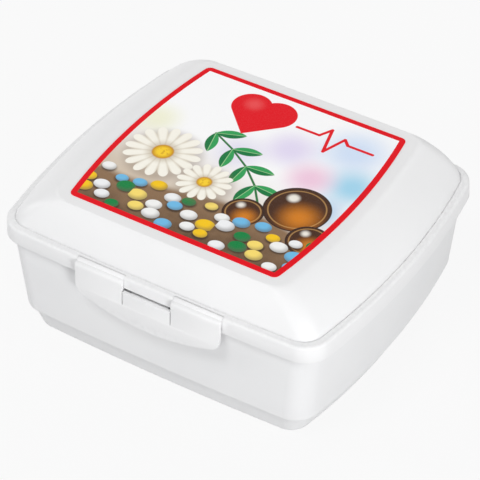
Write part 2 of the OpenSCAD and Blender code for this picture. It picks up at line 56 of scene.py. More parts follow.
# %% Sizes of the box, in millimetres
RIM_W, RIM_D = 165, 139.5
SIDE_BOW, END_BOW, CORNER_R = 6.8, 1.7, 12.6
WALL = 1.6
TUB_H, STEP_H, STEP_R = 52.9, 11.7, 1.4
SIDE_LEAN, END_LEAN, CORNER_MORE = 3.5, 1.1, 1.5
STEP_IN, FOOT_SIDE_LEAN, FOOT_END_LEAN, FOOT_CORNER_R = 1.8, 3.8, 2.6, 8.5
FOOT_RING, FOOT_HOLLOW, FOOT_R = 5, 0.8, 0.8
FLOOR_R = 2
SKIRT_T, SKIRT_H, SKIRT_FLARE, SKIRT_GAP, SEAT_GAP = 1.5, 8, 0.6, 0.6, 0.3
RIM_T, RIM_EDGE_R = 2.85, 1.3
GROOVE_IN, GROOVE_DEEP = 3.6, 0.5
DOME_H, TOP_MARGIN = 15.95, 5.1
LABEL_W, LABEL_D, LABEL_BOW, LABEL_R, LABEL_T = 109.3, 106.5, 4.65, 2.8, 0.2
BEVEL_H, BEVEL_W = 0.4, 0.3
MIDDLE_Y = 1.675

SEAT_Z = TUB_H + SEAT_GAP
RIM_Z = SEAT_Z + RIM_T
SKIRT_Z = RIM_Z - SKIRT_H
LID_Z = RIM_Z + DOME_H
FLOOR_Z = FOOT_HOLLOW + WALL
UNDER_Z = STEP_H - STEP_R
SHELF_Z = UNDER_Z + WALL
print("rim at", RIM_Z, "mm, top at", LID_Z, "mm")

# %% [markdown]
# ## The outline
#
# Seen from above, the box is a square whose sides bow outwards, with a rounded corner between two
# sides. Each side is an arc of a large circle. The corner's circle touches both large circles from
# inside, so its centre lies where two smaller circles about their centres cross. One quarter is
# worked out and mirrored, and all the outlines have as many points, so that they can be joined.

# %% Points of an outline
SIDE_STEPS, CORNER_STEPS, END_STEPS = 18, 14, 10


def on_circle(centre, radius, degrees):
    return (centre[0] + radius * math.cos(math.radians(degrees)),
            centre[1] + radius * math.sin(math.radians(degrees)))


def arc(centre, radius, start, stop, steps):
    return [on_circle(centre, radius, start + (stop - start) * i / steps) for i in range(steps + 1)]


def quarter(half_w, half_d, side_bow, end_bow, corner_r):
    side_r = (half_d ** 2 + side_bow ** 2) / (2 * side_bow)
    end_r = (half_w ** 2 + end_bow ** 2) / (2 * end_bow)
    side_c, end_c = (half_w - side_r, 0), (0, half_d - end_r)
    apart = Vector(end_c) - Vector(side_c)
    gap = apart.length
    along = ((side_r - corner_r) ** 2 - (end_r - corner_r) ** 2 + gap ** 2) / (2 * gap)
    across = math.sqrt((side_r - corner_r) ** 2 - along ** 2)
    unit = apart / gap
    centre = Vector(side_c) + along * unit + across * Vector((-unit.y, unit.x))
    start = math.degrees(math.atan2(centre.y, centre.x - side_c[0]))
    stop = math.degrees(math.atan2(centre.y - end_c[1], centre.x))
    return (arc(side_c, side_r, 0, start, SIDE_STEPS)[:-1]
            + arc(centre, corner_r, start, stop, CORNER_STEPS)[:-1]
            + arc(end_c, end_r, stop, 90, END_STEPS))


def outline(shape):
    q = quarter(*shape)
    half = q[:-1] + [(-x, y) for x, y in reversed(q[1:])]
    return half + [(-x, -y) for x, y in half]


def inset(shape, x, y, turn):
    half_w, half_d, side_bow, end_bow, corner_r = shape
    return (half_w - x, half_d - y, side_bow, end_bow, max(corner_r - turn, 0.6))


def ring(shape, z):
    return [(x, y, z) for x, y in outline(shape)]


RIM = (RIM_W / 2, RIM_D / 2, SIDE_BOW, END_BOW, CORNER_R)
print("points in an outline:", len(outline(RIM)))

# %% [markdown]
# ## Extruding a loop through rings
#
# A moulded shell is drawn most easily as a stack of rings. The start is a circle primitive. Its
# vertices go to the first ring, the loop is extruded, the new vertices go to the next ring, and so
# on round the edge of the wall and back. A number kept on each vertex says which point of the ring it
# stands for, and the extrusion hands that number on.

# %% The loft helper
def mode(name):
    bpy.ops.object.mode_set(mode=name)


def deselect():
    bpy.ops.object.select_all(action="DESELECT")


def select_only(piece):
    deselect()
    piece.select_set(True)
    bpy.context.view_layer.objects.active = piece


def select_ring(cage, layer, number):
    for vert in cage.verts:
        vert.select = vert[layer] == number
    cage.select_flush_mode()


def loft(name, rings):
    deselect()
    bpy.ops.mesh.primitive_circle_add(vertices=len(rings[0]), radius=RIM_W * MM)
    piece = bpy.context.object
    piece.name = name
    mode("EDIT")
    cage = bmesh.from_edit_mesh(piece.data)
    cage.verts.layers.int.new("point")
    cage.verts.layers.int.new("ring")
    for i, vert in enumerate(cage.verts):
        vert[cage.verts.layers.int["point"]] = i
    for number, points in enumerate(rings):
        if number:
            bpy.ops.mesh.extrude_region_move()
            cage = bmesh.from_edit_mesh(piece.data)
        point, level = cage.verts.layers.int["point"], cage.verts.layers.int["ring"]
        for vert in cage.verts:
            if vert.select:
                x, y, z = points[vert[point]]
                vert.co = Vector((x, y - MIDDLE_Y, z)) * MM
                vert[level] = number
    for number in (0, len(rings) - 1):
        select_ring(cage, level, number)
        bpy.ops.mesh.edge_face_add()
        cage = bmesh.from_edit_mesh(piece.data)
        level = cage.verts.layers.int["ring"]
    for layer in list(cage.verts.layers.int):
        cage.verts.layers.int.remove(layer)
    bpy.ops.mesh.select_all(action="SELECT")
    bpy.ops.mesh.normals_make_consistent(inside=False)
    mode("OBJECT")
    return piece


# %% [markdown]
# ## Flat shapes, rods and joining
#
# Ribs, ears, dividers and the latch start as a flat outline that is given a thickness, which is a
# loft through two rings. Pins and bores are cylinders. A Boolean modifier adds one solid to another
# or cuts it away, and it is applied at once, so that each piece ends as one clean shell. It also adds
# an empty material slot, which is cleared, or the piece's own finish would never show.

# %% Helpers for slabs, rods and Booleans
def slab_along_x(name, outline_yz, width, middle=0):
    return loft(name, [[(middle + side * width / 2, y, z) for y, z in outline_yz] for side in (-1, 1)])


def slab_along_y(name, outline_xz, width, middle=0):
    return loft(name, [[(x, middle + side * width / 2, z) for x, z in outline_xz] for side in (-1, 1)])


def rod(name, radius, length, middle, sides=64, axis="X"):
    deselect()
    turn = (0, math.pi / 2, 0) if axis == "X" else (math.pi / 2, 0, 0)
    x, y, z = middle
    bpy.ops.mesh.primitive_cylinder_add(
        vertices=sides, radius=radius * MM, depth=length * MM,
        location=(x * MM, (y - MIDDLE_Y) * MM, z * MM), rotation=turn)
    piece = bpy.context.object
    piece.name = name
    bpy.ops.object.transform_apply(location=True, rotation=True, scale=True)
    return piece


def block(name, low, high):
    x0, y0, z0 = low
    x1, y1, z1 = high
    return slab_along_x(name, [(y0, z0), (y1, z0), (y1, z1), (y0, z1)], x1 - x0, (x0 + x1) / 2)


def apply_modifier(piece, change):
    select_only(piece)
    bpy.ops.object.modifier_apply(modifier=change.name)


def combine(piece, other, operation):
    change = piece.modifiers.new("Combine", "BOOLEAN")
    change.operation, change.object, change.solver = operation, other, "MANIFOLD"
    apply_modifier(piece, change)
    piece.data.materials.clear()
    bpy.data.objects.remove(other)
    return piece


def joined(pieces):
    deselect()
    for piece in pieces:
        piece.select_set(True)
    bpy.context.view_layer.objects.active = pieces[0]
    bpy.ops.object.join()
    return pieces[0]


def bevel(piece, width, angle=40, segments=2):
    change = piece.modifiers.new("Soft edges", "BEVEL")
    change.width, change.segments = width * MM, segments
    change.limit_method, change.angle_limit = "ANGLE", math.radians(angle)
    apply_modifier(piece, change)
    return piece


def clean(piece):
    select_only(piece)
    mode("EDIT")
    bpy.ops.mesh.select_all(action="SELECT")
    bpy.ops.mesh.remove_doubles(threshold=0.002 * MM)
    bpy.ops.mesh.dissolve_degenerate(threshold=0.001 * MM)
    mode("OBJECT")


def put(piece, body, slot, materials, *nodes, angle=30):
    """Smooth the piece, give it its finish and let it ride on its body in place of its solids."""
    select_only(piece)
    bpy.ops.object.shade_smooth_by_angle(angle=math.radians(angle))
    for material in materials:
        piece.data.materials.append(material)
    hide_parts(*nodes)
    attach(piece, body)
    print(piece.name, len(piece.data.polygons), "faces")


# %% [markdown]
# ## Writing shader maths
#
# A finish is worked out from the place on the surface, in millimetres. The first class wraps one
# socket, so that an expression such as `(x * x + y * y).root()` adds its Math nodes by itself. The
# second adds nodes to one tree, and the third is a new material with all that a finish needs.

# %% Classes for shader maths
def maths(operation):
    """A method that adds one Math node, with the field itself as the first value."""
    return lambda field, *values: field.nodes.math(operation, field, *values)


class Field:
    def __init__(self, nodes, socket):
        self.nodes, self.socket = nodes, socket

    def __rsub__(self, other):
        return self.nodes.math("SUBTRACT", other, self)

    __add__ = __radd__ = maths("ADD")
    __mul__ = __rmul__ = maths("MULTIPLY")
    __sub__, __truediv__ = maths("SUBTRACT"), maths("DIVIDE")
    low, high, size = maths("MINIMUM"), maths("MAXIMUM"), maths("ABSOLUTE")
    root, wave = maths("SQRT"), maths("SINE")
    whole, within = maths("FLOOR"), maths("FLOORED_MODULO")

    def rise(self, start, stop):
        """A soft step from 0 at start to 1 at stop."""
        return self.nodes.field("ShaderNodeMapRange", {"interpolation_type": "SMOOTHSTEP"},
                                {"Value": self, "From Min": start, "From Max": stop})

    def inside(self, soft=0.15):
        """1 where this distance is below 0, with a soft edge."""
        return self.rise(soft, -soft)


class Nodes:
    def __init__(self, owner):
        owner.use_nodes = True
        self.tree = owner.node_tree

    def node(self, kind, settings=None, inputs=None):
        node = self.tree.nodes.new(kind)
        for key, value in (settings or {}).items():
            setattr(node, key, value)
        for key, value in (inputs or {}).items():
            self.feed(node.inputs[key], value)
        return node

    def feed(self, socket, value):
        if isinstance(value, Field):
            value = value.socket
        if isinstance(value, bpy.types.NodeSocket):
            self.tree.links.new(value, socket)
        else:
            socket.default_value = value

    def field(self, kind, settings=None, inputs=None):
        return Field(self, self.node(kind, settings, inputs).outputs[0])

    def math(self, operation, *values):
        return self.field("ShaderNodeMath", {"operation": operation}, dict(enumerate(values)))


class Paint(Nodes):
    def __init__(self, name):
        self.material = bpy.data.materials.new(name)
        super().__init__(self.material)
        self.shader = self.tree.nodes["Principled BSDF"]
        self.point = self.node("ShaderNodeTexCoord").outputs["Object"]

    def millimetres(self):
        parts = self.node("ShaderNodeSeparateXYZ", None, {0: self.point})
        return [Field(self, parts.outputs[i]) * (1 / MM) for i in range(3)]

    def noise(self, size, detail=2, roughness=0.5):
        """Soft noise from 0 to 1 whose spots are about size millimetres across."""
        return self.field("ShaderNodeTexNoise", None,
                          {"Vector": self.point, "Scale": 1 / (size * MM), "Detail": detail,
                           "Roughness": roughness})

    def mix(self, factor, under, over):
        node = self.node("ShaderNodeMix", {"data_type": "RGBA"}, {0: factor, 6: under, 7: over})
        return node.outputs[2]

    def bump(self, height, depth, normal=None):
        inputs = {"Height": height, "Distance": depth * MM, "Strength": 1.0}
        if normal is not None:
            inputs["Normal"] = normal
        return self.node("ShaderNodeBump", None, inputs).outputs[0]

    def done(self, colour, roughness, normal, **constants):
        for key, value in (("Base Color", colour), ("Roughness", roughness), ("Normal", normal)):
            self.feed(self.shader.inputs[key], value)
        for key, value in constants.items():
            self.shader.inputs[key.replace("_", " ")].default_value = value
        print("finish", self.material.name, "has", len(self.tree.nodes), "nodes")
        return self.material


def rgb(red, green, blue):
    return (red, green, blue, 1.0)


# %% [markdown]
# ## White polypropylene
#
# The box is moulded in white polypropylene. Its skin is smooth, but never quite even: the mould's
# polish leaves a fine grain, the wall sinks a little as it cools, and hands leave duller patches.
# The mouldings and the dividers share one recipe and differ in colour, gloss and grain. The tub's
# white is a little darker than the lid's. This is painted shade for its walls, which face a little
# downwards under the skirt's overhang. A stock noise at several sizes makes the clouds, specks,
# smears, sink waves and grain, and rubbed spots are duller where the piece is touched or stands.

# %% The plastic recipe
PLASTIC_IOR = 1.49
CLOUD, SPECK, SMEAR, RUB, SINK, GRAIN = 38, 0.9, 11, 1.6, 24, 0.45
SINK_DEPTH = 0.12


def darker(colour, share):
    return rgb(*(share * part for part in colour[:3]))


def plastic(name, white, shade, gloss, grain, rubbed, shine=0.5):
    """gloss is a roughness, grain a height in mm, rubbed a mask of z and shine a specular level."""
    paint = Paint(name)
    z = paint.millimetres()[2]
    cloud = paint.noise(CLOUD, 2).rise(0.3, 0.75)
    speck = paint.noise(SPECK, 3).rise(0.62, 0.8)
    smear = paint.noise(SMEAR, 3, 0.6).rise(0.45, 0.75)
    colour = paint.mix(cloud, white, shade)
    colour = paint.mix(speck * 0.18, colour, darker(white, 0.82))
    worn = rubbed(z) * paint.noise(RUB, 3).rise(0.35, 0.7)
    colour = paint.mix(worn * 0.5, colour, darker(white, 0.9))
    roughness = gloss + smear * 0.07 + speck * 0.05 + worn * 0.18
    sink = paint.bump(paint.noise(SINK, 1), SINK_DEPTH)
    fine = paint.bump(paint.noise(GRAIN, 2), grain, sink)
    return paint.done(colour, roughness, fine, IOR=PLASTIC_IOR, Specular_IOR_Level=shine)


def at_foot(z):
    return z.rise(1.6, 0.2)


def at_flap_edge(z):
    return z.rise(40, 35.5)


def at_rim_edge(z):
    return (z - RIM_Z).size().rise(1.2, 0.2)


def at_tray_edge(z):
    return z.rise(45, 46.3)


BRIGHT, BRIGHT_SHADE = rgb(0.785, 0.785, 0.79), rgb(0.77, 0.772, 0.777)
LID_WHITE = plastic("lid_white_plastic", BRIGHT, BRIGHT_SHADE, 0.36, 0.004, at_rim_edge, 0.16)
# The tub's white is a little darker than the lid's: painted shade for walls under the skirt's overhang.
TUB_SHADED_WHITE = plastic("tub_shaded_white_plastic", rgb(0.76, 0.762, 0.767), rgb(0.745, 0.748, 0.755),
                    0.46, 0.006, at_foot, 0.2)
LATCH_WHITE = plastic("latch_white_plastic", BRIGHT, BRIGHT_SHADE, 0.34, 0.004, at_flap_edge, 0.16)
TRAY_WHITE = plastic("tray_white_plastic", rgb(0.72, 0.76, 0.78), rgb(0.70, 0.74, 0.765),
                     0.42, 0.006, at_tray_edge)
DIVIDER_BLUE = plastic("divider_pale_plastic", rgb(0.60, 0.70, 0.78), rgb(0.58, 0.685, 0.77),
                       0.42, 0.006, at_tray_edge)

# %% [markdown]
# ## Drawn steel wire
#
# The hinge pins and the latch's wire are drawn steel. Drawing leaves fine lines along the wire, which
# here is a noise stretched along X, and the wire is a little dull and brownish in spots.

# %% The wire's finish
def wire(name):
    paint = Paint(name)
    stretched = paint.node("ShaderNodeMapping", None,
                           {"Vector": paint.point, "Scale": (60, 4000, 4000)})
    lines = paint.field("ShaderNodeTexNoise", None,
                        {"Vector": stretched.outputs[0], "Scale": 1, "Detail": 3})
    spots = paint.noise(1.2, 3).rise(0.6, 0.75)
    colour = paint.mix(spots * 0.35, rgb(0.62, 0.63, 0.65), rgb(0.36, 0.31, 0.27))
    gloss = lines * 0.16 + spots * 0.2 + 0.24
    return paint.done(colour, gloss, paint.bump(lines, 0.006), Metallic=1.0)


STEEL = wire("drawn_steel")

# %% [markdown]
# ## The printed film
#
# A film with a red border and a generic print covers the lid's flat top: a red heart and a pulse line
# on white, soft pastel lights, and a brown ground with white flowers, a sprig of leaves, amber beads
# and pebbles. Each shape is a distance worked out from x and y, in millimetres about the film's
# middle, and turned into a mask with a soft edge. Ink has hardly any gloss, so its colours stay deep.

# %% Shapes for the print
def disc(x, y, cx, cy, radius):
    return ((x - cx) * (x - cx) + (y - cy) * (y - cy)).root() - radius


def leaf(x, y, cx, cy, degrees, half_l, half_w):
    """Two crossing discs make a leaf. Returns its distance and the place across its midrib."""
    c, s = math.cos(math.radians(degrees)), math.sin(math.radians(degrees))
    u = (x - cx) * c + (y - cy) * s
    v = (y - cy) * c - (x - cx) * s
    radius = (half_l ** 2 + half_w ** 2) / (2 * half_w)
    drop = v.size() + (radius - half_w)
    return (u * u + drop * drop).root() - radius, v


def stroke(x, y, start, stop, half_w):
    """A straight line with round ends."""
    dx, dy = stop[0] - start[0], stop[1] - start[1]
    along = ((x - start[0]) * dx + (y - start[1]) * dy) / (dx * dx + dy * dy)
    along = along.high(0.0).low(1.0)
    px, py = x - start[0] - along * dx, y - start[1] - along * dy
    return (px * px + py * py).root() - half_w


def heart(x, y, cx, cy, half):
    """A square standing on its corner, with a disc on each upper side."""
    u, v, off = x - cx, y - cy, half / math.sqrt(2)
    square = (u + v).size().high((u - v).size()) / math.sqrt(2) - half
    return square.low(disc(u, v, -off, off, half)).low(disc(u, v, off, off, half))


# %% Ground and lights of the print
LIGHTS = ((36, 33, 20, (0.50, 0.66, 0.90), 0.7), (12, 21, 15, (0.66, 0.56, 0.84), 0.65),
          (47, 12, 15, (0.22, 0.58, 0.80), 0.8), (29, 8, 13, (0.84, 0.50, 0.68), 0.8),
          (-48, 10, 12, (0.80, 0.80, 0.42), 0.5), (-6, 8, 14, (0.62, 0.58, 0.80), 0.55),
          (44, -8, 12, (0.30, 0.52, 0.78), 0.7))


def lit_ground(paint, x, y):
    colour = paint.mix((y + x * 0.15).rise(-38, 8), rgb(0.62, 0.52, 0.41), rgb(0.95, 0.95, 0.955))
    for cx, cy, radius, tint, strength in LIGHTS:
        glow = disc(x, y, cx, cy, radius).rise(3, -radius * 0.9)
        colour = paint.mix(glow * strength, colour, rgb(*tint))
    grain = paint.noise(7, 3)
    hill = y + 27 - (x * 0.055 + 0.6).wave() * 4
    table = paint.mix(grain * (hill.rise(-4, -22)), rgb(0.25, 0.15, 0.08), rgb(0.055, 0.028, 0.014))
    return paint.mix(hill.inside(2.5), colour, table)


# %% Flowers and sprig of the print
FLOWERS = ((-33, -9, 17, 16), (-7, -17, 12, 14))
SPRIG = ((-21, 14), (-9, 8), (2, 1), (12, -8), (19, -17))
STEM_HALF_W, LEAF_TURN, LEAF_OFF, LEAF_HALF_L, LEAF_HALF_W = 0.5, 48, 6.6, 6.8, 2.7


def flowers(paint, x, y, colour):
    for cx, cy, radius, petals in FLOWERS:
        away = disc(x, y, cx, cy, 0)
        turn = paint.math("ARCTAN2", y - cy, x - cx)
        lobe = (turn * (petals / 2)).wave().size()
        edge = away - (lobe.root() * 0.36 + 0.64) * radius
        shade = lobe.rise(0.75, 0.0) * away.rise(0, radius) + away.rise(radius * 0.55, radius * 0.25)
        petal = paint.mix(shade * 0.75, rgb(0.92, 0.89, 0.80), rgb(0.55, 0.47, 0.35))
        under = disc(x, y, cx + 1.2, cy - 1.6, radius).inside(3)
        colour = paint.mix(under * 0.4, colour, rgb(0.20, 0.13, 0.08))
        colour = paint.mix(edge.inside(0.3), colour, petal)
        grains = paint.noise(1.3, 1).rise(0.5, 0.65) * 0.5
        core_shade = away.rise(radius * 0.12, radius * 0.3).high(grains)
        core = paint.mix(core_shade, rgb(0.93, 0.62, 0.03), rgb(0.52, 0.22, 0.01))
        colour = paint.mix((away - radius * 0.28).inside(0.4), colour, core)
    return colour


def sprig(paint, x, y, colour):
    for start, stop in zip(SPRIG, SPRIG[1:]):
        stem = stroke(x, y, start, stop, STEM_HALF_W).inside()
        colour = paint.mix(stem, colour, rgb(0.02, 0.16, 0.04))
        slope = math.degrees(math.atan2(stop[1] - start[1], stop[0] - start[0]))
        for side in (-1, 1):
            tilt = slope + side * LEAF_TURN
            cx, cy = on_circle(start, LEAF_OFF, tilt)
            edge, rib = leaf(x, y, cx, cy, tilt, LEAF_HALF_L, LEAF_HALF_W)
            green = paint.mix(rib.rise(-0.3, 0.3), rgb(0.004, 0.17, 0.045), rgb(0.03, 0.33, 0.09))
            green = paint.mix((rib.size() - 0.16).inside(0.1), green, rgb(0.35, 0.62, 0.30))
            colour = paint.mix(edge.inside(), colour, green)
    return colour


# %% Beads and pebbles of the print
BEADS = ((35, -12, 14), (17, -25, 8.5), (49, -27, 9))
PEBBLE_PITCH = 8.3
PEBBLE_ROWS = ((-31, 3.4, 0.0, 1.9), (-38.5, 3.9, 4.1, 3.1), (-46.5, 3.6, 1.7, 0.7))
PEBBLE_TINTS = ((0.88, 0.88, 0.87), (0.90, 0.56, 0.01), (0.86, 0.87, 0.88), (0.004, 0.21, 0.05),
                (0.92, 0.70, 0.16), (0.88, 0.88, 0.86), (0.16, 0.48, 0.76))


def beads(paint, x, y, colour):
    for cx, cy, radius in BEADS:
        edge = disc(x, y, cx, cy, radius)
        light = disc(x, y, cx + radius * 0.25, cy - radius * 0.3, radius)
        amber = paint.mix(light.rise(-radius * 0.95, -radius * 0.1),
                          rgb(0.62, 0.20, 0.012), rgb(0.055, 0.018, 0.006))
        shine = disc(x, y, cx - radius * 0.36, cy + radius * 0.4, radius * 0.16).rise(1.4, -1.0)
        amber = paint.mix(shine * 0.9, amber, rgb(0.92, 0.88, 0.80))
        colour = paint.mix(edge.inside(), colour, amber)
        colour = paint.mix((edge.size() - 0.3).inside(), colour, rgb(0.03, 0.012, 0.006))
        ring_line = (edge + radius * 0.14).size() - 0.3
        colour = paint.mix(ring_line.inside() * 0.45, colour, rgb(0.75, 0.42, 0.14))
    return colour


def pebbles(paint, x, y, colour):
    for height, radius, shift, swing in PEBBLE_ROWS:
        run = x + 100 + shift
        number = (run / PEBBLE_PITCH).whole()
        jitter = (number * 2.1 + swing).wave()
        across = run.within(PEBBLE_PITCH) - PEBBLE_PITCH / 2 - (number * 3.7 + swing).wave() * 0.7
        up = (y - height - jitter * 2.3) * 1.25
        width = (number * 1.3 + swing).wave() * 0.5 + radius
        edge = (across * across + up * up).root() - width
        pick = (number + swing * 3).within(len(PEBBLE_TINTS))
        tint = rgb(*PEBBLE_TINTS[0])
        for i in range(1, len(PEBBLE_TINTS)):
            tint = paint.mix((pick - (i - 0.5)).rise(-0.01, 0.01), tint, rgb(*PEBBLE_TINTS[i]))
        lit = disc(across, up, -radius * 0.3, radius * 0.4, radius)
        tint = paint.mix(lit.rise(-radius * 0.5, radius * 0.6) * 0.6, tint, rgb(0.10, 0.08, 0.07))
        under = disc(across, up, 0.5, -1.2, radius)
        colour = paint.mix(under.inside(0.9) * 0.75, colour, rgb(0.02, 0.01, 0.006))
        colour = paint.mix(edge.inside(), colour, tint)
    return colour


# %% Heart, pulse line and the whole print
HEART, HEART_LIGHT = (-12, 32, 9), (-18, 40, 1.5)
PULSE = ((6, 36), (17, 36), (20, 42), (24, 27), (28, 39), (31, 36), (43, 36))
PULSE_HALF_W = 0.75
PRINT_RED = rgb(0.74, 0.004, 0.012)


def heart_and_pulse(paint, x, y, colour):
    lit = disc(x, y, *HEART_LIGHT).rise(5, -1)
    red = paint.mix(lit * 0.35, PRINT_RED, rgb(0.90, 0.20, 0.20))
    colour = paint.mix(heart(x, y, *HEART).inside(), colour, red)
    for start, stop in zip(PULSE, PULSE[1:]):
        line = stroke(x, y, start, stop, PULSE_HALF_W).inside()
        colour = paint.mix(line, colour, PRINT_RED)
    return colour


def ink(paint, colour):
    gloss = paint.noise(9, 2) * 0.1 + 0.36
    wrinkles = paint.bump(paint.noise(4, 1), 0.01)
    return paint.done(colour, gloss, wrinkles, IOR=PLASTIC_IOR, Specular_IOR_Level=0.08)


def printed(name):
    paint = Paint(name)
    x, y = paint.millimetres()[:2]
    y = y + MIDDLE_Y
    colour = lit_ground(paint, x, y)
    for layer in (sprig, beads, pebbles, flowers, heart_and_pulse):
        colour = layer(paint, x, y, colour)
    dots = paint.noise(0.35, 1).rise(0.4, 0.7)
    return ink(paint, paint.mix(dots * 0.04, colour, rgb(0.5, 0.5, 0.5)))


def border_ink(name):
    paint = Paint(name)
    cloud = paint.noise(14, 2).rise(0.3, 0.7)
    return ink(paint, paint.mix(cloud * 0.5, PRINT_RED, rgb(0.68, 0.003, 0.010)))


PRINT = printed("label_print")
BORDER = border_ink("label_red_border")

# %% [markdown]
# ## The tub
#
# The tub is one moulding: a foot that stands back and leans in, a rounded bottom edge, and walls that
# lean out towards the upper edge while their corners get tighter. The loop starts under the hollow
# foot, runs up the outside, over the edge and down the inside to the floor. Ribs, the catch and the
# ears of the hinges are added afterwards.

# %% Rings of the tub
ROUND_STEPS = 6
TOP_IN = SKIRT_T + SKIRT_GAP


def lean(z):
    return (TUB_H - z) / (TUB_H - STEP_H)


def wall_x_in(z):
    return TOP_IN + SIDE_LEAN * lean(z)


def wall_y_in(z):
    return TOP_IN + END_LEAN * lean(z)


def wall_turn(z):
    return TOP_IN - CORNER_MORE * lean(z)


def foot_lean(z):
    return (UNDER_Z - z) / UNDER_Z


def foot_x_in(z):
    return wall_x_in(STEP_H) + STEP_IN + FOOT_SIDE_LEAN * foot_lean(z)


def foot_y_in(z):
    return wall_y_in(STEP_H) + STEP_IN + FOOT_END_LEAN * foot_lean(z)


def foot_turn(z):
    top = wall_turn(STEP_H) + STEP_IN
    return top + (CORNER_R - FOOT_CORNER_R - top) * foot_lean(z)


def foot_ring(d, z):
    return ring(inset(RIM, foot_x_in(z) + d, foot_y_in(z) + d, foot_turn(z) + d), z)


def tub_ring(at, d, z):
    return ring(inset(RIM, wall_x_in(at) + d, wall_y_in(at) + d, wall_turn(at) + d), z)


def turns():
    """Sine and cosine along a quarter of a circle."""
    angles = [math.pi / 2 * i / ROUND_STEPS for i in range(ROUND_STEPS + 1)]
    return [(math.sin(angle), math.cos(angle)) for angle in angles]


def soft_edge(thickness):
    """Insets and heights of the rings that take the corners off a wall's edge, outside first."""
    outer = [(0, BEVEL_H), (BEVEL_W / 3, BEVEL_H / 4), (BEVEL_W, 0)]
    return outer + [(thickness - d, drop) for d, drop in reversed(outer)]


outside = [foot_ring(FOOT_RING + FOOT_HOLLOW + 1, FOOT_HOLLOW),
           foot_ring(FOOT_RING + FOOT_HOLLOW, FOOT_HOLLOW),
           foot_ring(FOOT_RING + 0.25, 0.1), foot_ring(FOOT_RING, 0)]
outside += [foot_ring(FOOT_R * (1 - s), FOOT_R * (1 - c)) for s, c in turns()]
outside += [foot_ring(0, UNDER_Z / 2), foot_ring(0, UNDER_Z - 0.3), foot_ring(-0.1, UNDER_Z)]
outside += [tub_ring(STEP_H, STEP_R * (1 - s), STEP_H - STEP_R * c) for s, c in turns()]
wall_levels = (TUB_H * 0.4, TUB_H * 0.7, TUB_H - BEVEL_H)
outside += [tub_ring(z, 0, z) for z in wall_levels]

inside = [tub_ring(TUB_H, d, TUB_H - drop) for d, drop in soft_edge(WALL)[1:-1]]
inside += [tub_ring(z, WALL, z) for z in reversed(wall_levels)]
inside += [tub_ring(STEP_H, WALL, SHELF_Z + STEP_R + 0.5),
           tub_ring(STEP_H, WALL + 0.25, SHELF_Z + STEP_R - 0.1)]
inside += [foot_ring(WALL - 0.3, UNDER_Z + 0.4), foot_ring(WALL, UNDER_Z - 0.2)]
inside += [foot_ring(WALL + FLOOR_R * (1 - c), FLOOR_Z + FLOOR_R * (1 - s)) for s, c in turns()]
inside += [foot_ring(WALL + FLOOR_R + 1, FLOOR_Z)]

tub = loft("tub_shell", outside + inside)
print("tub rings:", len(outside + inside))

# %% [markdown]
# ## Ribs, catch and ears of the tub
#
# Four pairs of ribs hold the two lower dividers and carry the tray. The catch is the small wedge that
# the latch snaps under, and four ears behind the rim hold the two hinge pins. All of them are slabs.
# Each is softened first, all are joined to the shell in one Boolean, and a second one cuts the bores.

# %% Build the tub's fittings
TRAY_Z, TRAY_H, TRAY_T, TRAY_GAP, TRAY_SEAT_GAP, TRAY_R = 31, 15.5, 1.4, 0.6, 0.3, 2
RIB_T, RIB_REACH, DIVIDER_T, SLOT_PLAY, END_PLAY = 1.4, 4.5, 1.4, 0.15, 0.5
RIBS_Z = TRAY_Z - TRAY_SEAT_GAP
RIB_OFF = DIVIDER_T / 2 + SLOT_PLAY + RIB_T / 2
CATCH_W, CATCH_H, CATCH_OUT, CATCH_GAP, HOOK_BITE = 18, 1.6, 1.8, 0.35, 1.1
WINDOW_W, WINDOW_H, SLIT_H, SLIT_W, TONGUE_L = 24, 5.65, 0.7, 0.5, 6.75
HINGE_X, HINGE_R, KNUCKLE_W, EAR_W, EAR_GAP, PIN_R, PIN_PLAY = 38, 2.6, 12, 5, 0.3, 1.1, 0.05
HINGE_Y, HINGE_Z = RIM_D / 2 + 3.85, SKIRT_Z + 1.3
GUSSET_H, GUSSET_OUT, FITTING_EDGE = 9, 0.55, 0.25
HINGE_SPAN = KNUCKLE_W + 2 * (EAR_GAP + EAR_W)
TONGUE_Z = RIM_Z - WINDOW_H - SLIT_H
CATCH_Z = TONGUE_Z - CATCH_GAP - CATCH_H


def rib_outline(half, foot_in, wall_in, sign):
    points = [(half - foot_in(0) - WALL - RIB_REACH, FLOOR_Z - WALL / 2),
              (half - foot_in(0) - WALL / 2, FLOOR_Z - WALL / 2),
              (half - foot_in(UNDER_Z) - WALL / 2, SHELF_Z - WALL / 2),
              (half - wall_in(SHELF_Z) - WALL / 2, SHELF_Z - WALL / 2),
              (half - wall_in(RIBS_Z) - WALL / 2, RIBS_Z),
              (half - foot_in(0) - WALL - RIB_REACH, RIBS_Z)]
    return [(sign * u, z) for u, z in points]


def tub_ribs():
    ribs = []
    for sign in (-1, 1):
        for side in (-RIB_OFF, RIB_OFF):
            ends = rib_outline(RIM_W / 2, foot_x_in, wall_x_in, sign)
            ribs.append(slab_along_y("rib", ends, RIB_T, side))
            ends = rib_outline(RIM_D / 2, foot_y_in, wall_y_in, sign)
            ribs.append(slab_along_x("rib", ends, RIB_T, side))
    return ribs


def catch_wedge():
    root = -RIM_D / 2 + wall_y_in(CATCH_Z) + WALL / 2
    face = -RIM_D / 2 + wall_y_in(CATCH_Z) - CATCH_OUT
    top = CATCH_Z + CATCH_H
    return slab_along_x("catch", [(root, CATCH_Z), (face, CATCH_Z), (face, CATCH_Z + CATCH_H / 2),
                                  (face + CATCH_H / 2, top), (root, top)], CATCH_W)


def with_eye(piece, width, middle):
    """Soften the piece and join it to the round eye that the pin goes through."""
    eye = rod("eye", HINGE_R, width, (middle, HINGE_Y, HINGE_Z))
    return combine(bevel(piece, FITTING_EDGE), bevel(eye, FITTING_EDGE), "UNION")


def pin_bores(length):
    return [rod("bore", PIN_R + PIN_PLAY, length, (side * HINGE_X, HINGE_Y, HINGE_Z))
            for side in (-1, 1)]


